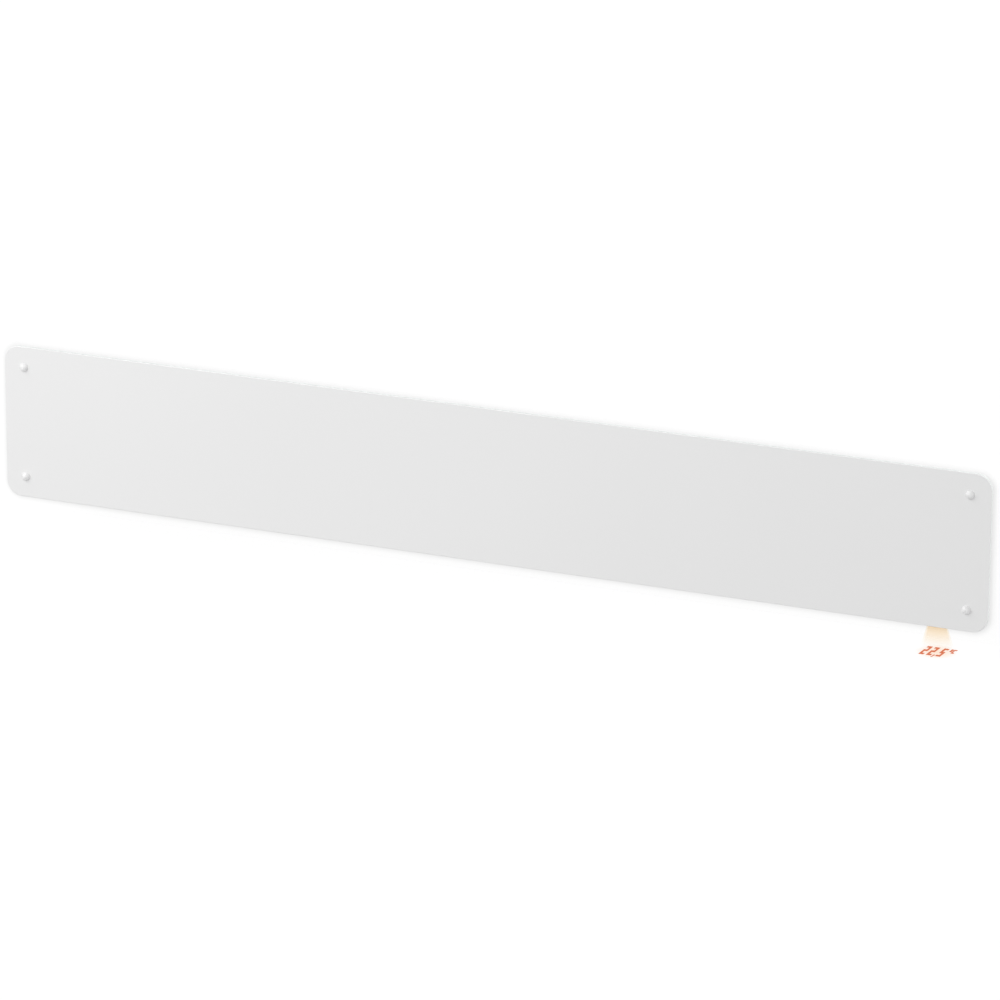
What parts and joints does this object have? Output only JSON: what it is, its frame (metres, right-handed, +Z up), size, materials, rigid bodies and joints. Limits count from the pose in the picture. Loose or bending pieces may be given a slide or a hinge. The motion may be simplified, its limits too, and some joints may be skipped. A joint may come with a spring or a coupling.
{
  "type": "glass panel heater",
  "caption": "Low, wide wall heater: a white glass front on domed fixings over a slotted steel casing with a finned element, push buttons, a rocker switch and a tilting wall bracket.",
  "frame": {"origin": "on the wall, in the middle of the four wall-screw holes of the bracket", "axes": "+X along the wall to the right as seen from the room, +Y into the wall, +Z up"},
  "size_m": [1.45, 0.092, 0.22],
  "materials": {
    "white_glass": "white back-lacquered toughened glass",
    "white_gloss_plastic": "gloss white moulding",
    "white_paint": "fine-textured white powder coat",
    "white_plastic": "satin white moulding",
    "zinc_steel": "bright zinc plated",
    "spring_steel": "oiled spring steel",
    "aluminised_steel": "aluminised",
    "aluminium": "extruded, bare",
    "stainless": "drawn",
    "ceramic": "unglazed",
    "brass": "turned",
    "black_plastic": "fine matt",
    "grey_plastic": "fine matt",
    "natural_nylon": "moulded nylon",
    "black_rubber": "matt",
    "silicone": "translucent grey silicone",
    "circuit_board": "green solder mask",
    "blue_plastic": "moulded",
    "clear_lens": "polished clear",
    "lead_red": "silicone insulation",
    "lead_white": "silicone insulation"
  },
  "bodies": {
    "wall_bracket": {"left_wall_bracket": "zinc_steel", "right_wall_bracket": "zinc_steel", "bracket_crossbar": "zinc_steel", "bracket_rivets": "stainless", "catch_springs": "spring_steel"},
    "heater": {"pivot_lugs": "zinc_steel", "pivot_pins": "stainless", "wall_bumpers": "black_rubber", "rear_plate": "white_paint", "front_plate": "white_paint", "top_grille": "white_paint", "bottom_grille": "white_paint", "right_end_cap": "white_plastic", "left_end_cap": "white_plastic", "casing_screws": "zinc_steel", "right_glass_carrier": "white_paint", "left_glass_carrier": "white_paint", "carrier_rivets": "zinc_steel", "glass_standoffs": "zinc_steel", "glass_pads": "silicone", "glass_bushes": "natural_nylon", "glass_screws": "zinc_steel", "screw_caps": "white_gloss_plastic", "glass_front": "white_glass", "heating_element": "aluminium", "element_rod": "stainless", "element_insulators": "ceramic", "element_terminals": "brass", "element_hangers": "zinc_steel", "element_cradle": "zinc_steel", "rear_heat_shield": "aluminised_steel", "front_heat_shield": "aluminised_steel", "overheat_cutouts": "black_plastic", "control_bulkhead": "zinc_steel", "bulkhead_grommets": "black_rubber", "control_tray": "black_plastic", "control_board": "circuit_board", "board_screws": "zinc_steel", "power_relay": "black_plastic", "power_supply": "blue_plastic", "buffer_capacitor": "black_plastic", "terminal_block": "natural_nylon", "tact_switches": "black_plastic", "control_panel": "white_plastic", "rocker_frame": "black_plastic", "projector_housing": "black_plastic", "projector_lens": "clear_lens", "projector_mask": "black_plastic", "projector_lamp": "natural_nylon", "projector_bezel": "grey_plastic", "sensor_holder": "grey_plastic", "room_sensor": "black_plastic", "cord_gland": "black_plastic", "gland_nut": "black_plastic", "cutout_leads": "lead_red", "right_lead": "lead_white"},
    "rocker": {"rocker": "black_plastic"},
    "minus_button": {"minus_button": "grey_plastic"},
    "mode_button": {"mode_button": "grey_plastic"},
    "plus_button": {"plus_button": "grey_plastic"}
  },
  "joints": [
    {"name": "tilt", "type": "hinge", "parent": "wall_bracket", "child": "heater", "pos_m": [0, -0.012, -0.066], "axis": [1, 0, 0], "range_deg": [0, 30], "deforming": ["catch_springs"]},
    {"name": "rocker_tip", "type": "hinge", "parent": "heater", "child": "rocker", "pos_m": [0.684, -0.048, -0.01], "axis": [0, 1, 0], "range_deg": [-20, 0]},
    {"name": "minus_button_press", "type": "slide", "parent": "heater", "child": "minus_button", "axis": [0, 0, -1], "range_m": [0, 0.0008], "stiffness_N_per_m": 400, "springref_m": -0.002},
    {"name": "mode_button_press", "type": "slide", "parent": "heater", "child": "mode_button", "axis": [0, 0, -1], "range_m": [0, 0.0008], "stiffness_N_per_m": 400, "springref_m": -0.002},
    {"name": "plus_button_press", "type": "slide", "parent": "heater", "child": "plus_button", "axis": [0, 0, -1], "range_m": [0, 0.0008], "stiffness_N_per_m": 400, "springref_m": -0.002}
  ]
}
